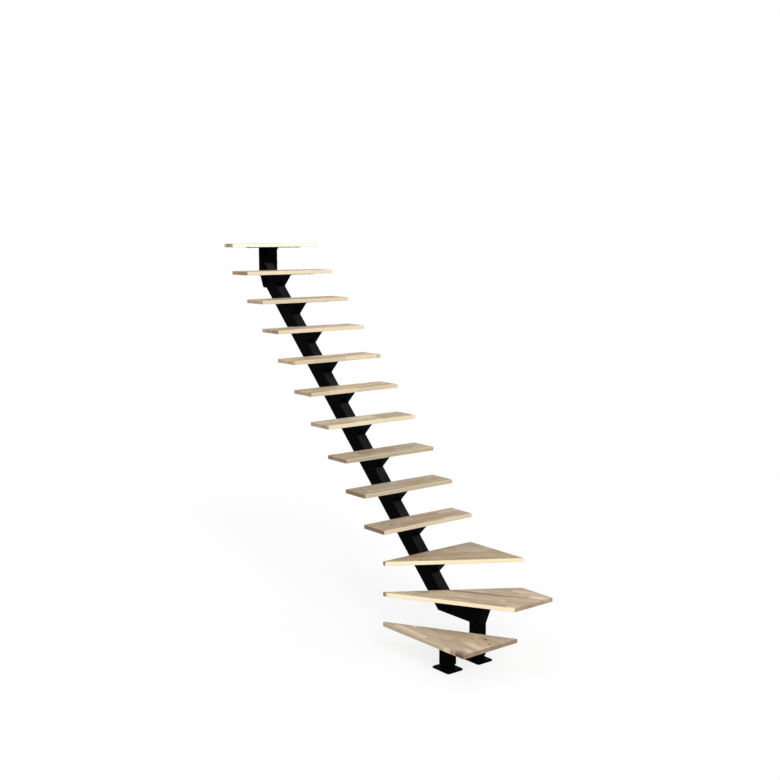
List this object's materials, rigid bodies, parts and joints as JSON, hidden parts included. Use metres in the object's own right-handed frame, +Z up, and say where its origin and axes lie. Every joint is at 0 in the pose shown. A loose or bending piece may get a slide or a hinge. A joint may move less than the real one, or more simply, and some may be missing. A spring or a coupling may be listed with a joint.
{
  "type": "quarter turn staircase",
  "caption": "Open quarter turn staircase with laminated wood treads on one black steel spine, winders at the bottom and a narrow arrival tread level with the upper floor",
  "frame": {"origin": "on the floor, in the middle of the underside of the main post's base plate", "axes": "+Z is up, +Y is the way the straight flight climbs and the outward normal of the fixing plate's back, +X runs along the straight treads, away from the side of the first tread"},
  "size_m": [0.81, 2.812, 2.743],
  "materials": {
    "black_steel": "black satin powder coat",
    "laminated_wood": "pale finger-jointed wood, clear matt varnish"
  },
  "bodies": {
    "root": {"base_plate_first": "black_steel", "base_plate_main": "black_steel", "fixing_plate": "black_steel", "foot_beam": "black_steel", "foot_tube_first": "black_steel", "foot_tube_main": "black_steel", "post_link": "black_steel", "post_sleeve_first": "black_steel", "post_sleeve_main": "black_steel", "spine_end_cap": "black_steel", "spine_tube": "black_steel", "tread_01": "laminated_wood", "tread_02": "laminated_wood", "tread_03": "laminated_wood", "tread_04": "laminated_wood", "tread_05": "laminated_wood", "tread_06": "laminated_wood", "tread_07": "laminated_wood", "tread_08": "laminated_wood", "tread_09": "laminated_wood", "tread_10": "laminated_wood", "tread_11": "laminated_wood", "tread_12": "laminated_wood", "tread_13": "laminated_wood", "tread_support_01": "black_steel", "tread_support_02": "black_steel", "tread_support_03": "black_steel", "tread_support_04": "black_steel", "tread_support_05": "black_steel", "tread_support_06": "black_steel", "tread_support_07": "black_steel", "tread_support_08": "black_steel", "tread_support_09": "black_steel", "tread_support_10": "black_steel", "tread_support_11": "black_steel", "tread_support_12": "black_steel", "tread_support_13": "black_steel"}
  },
  "joints": []
}
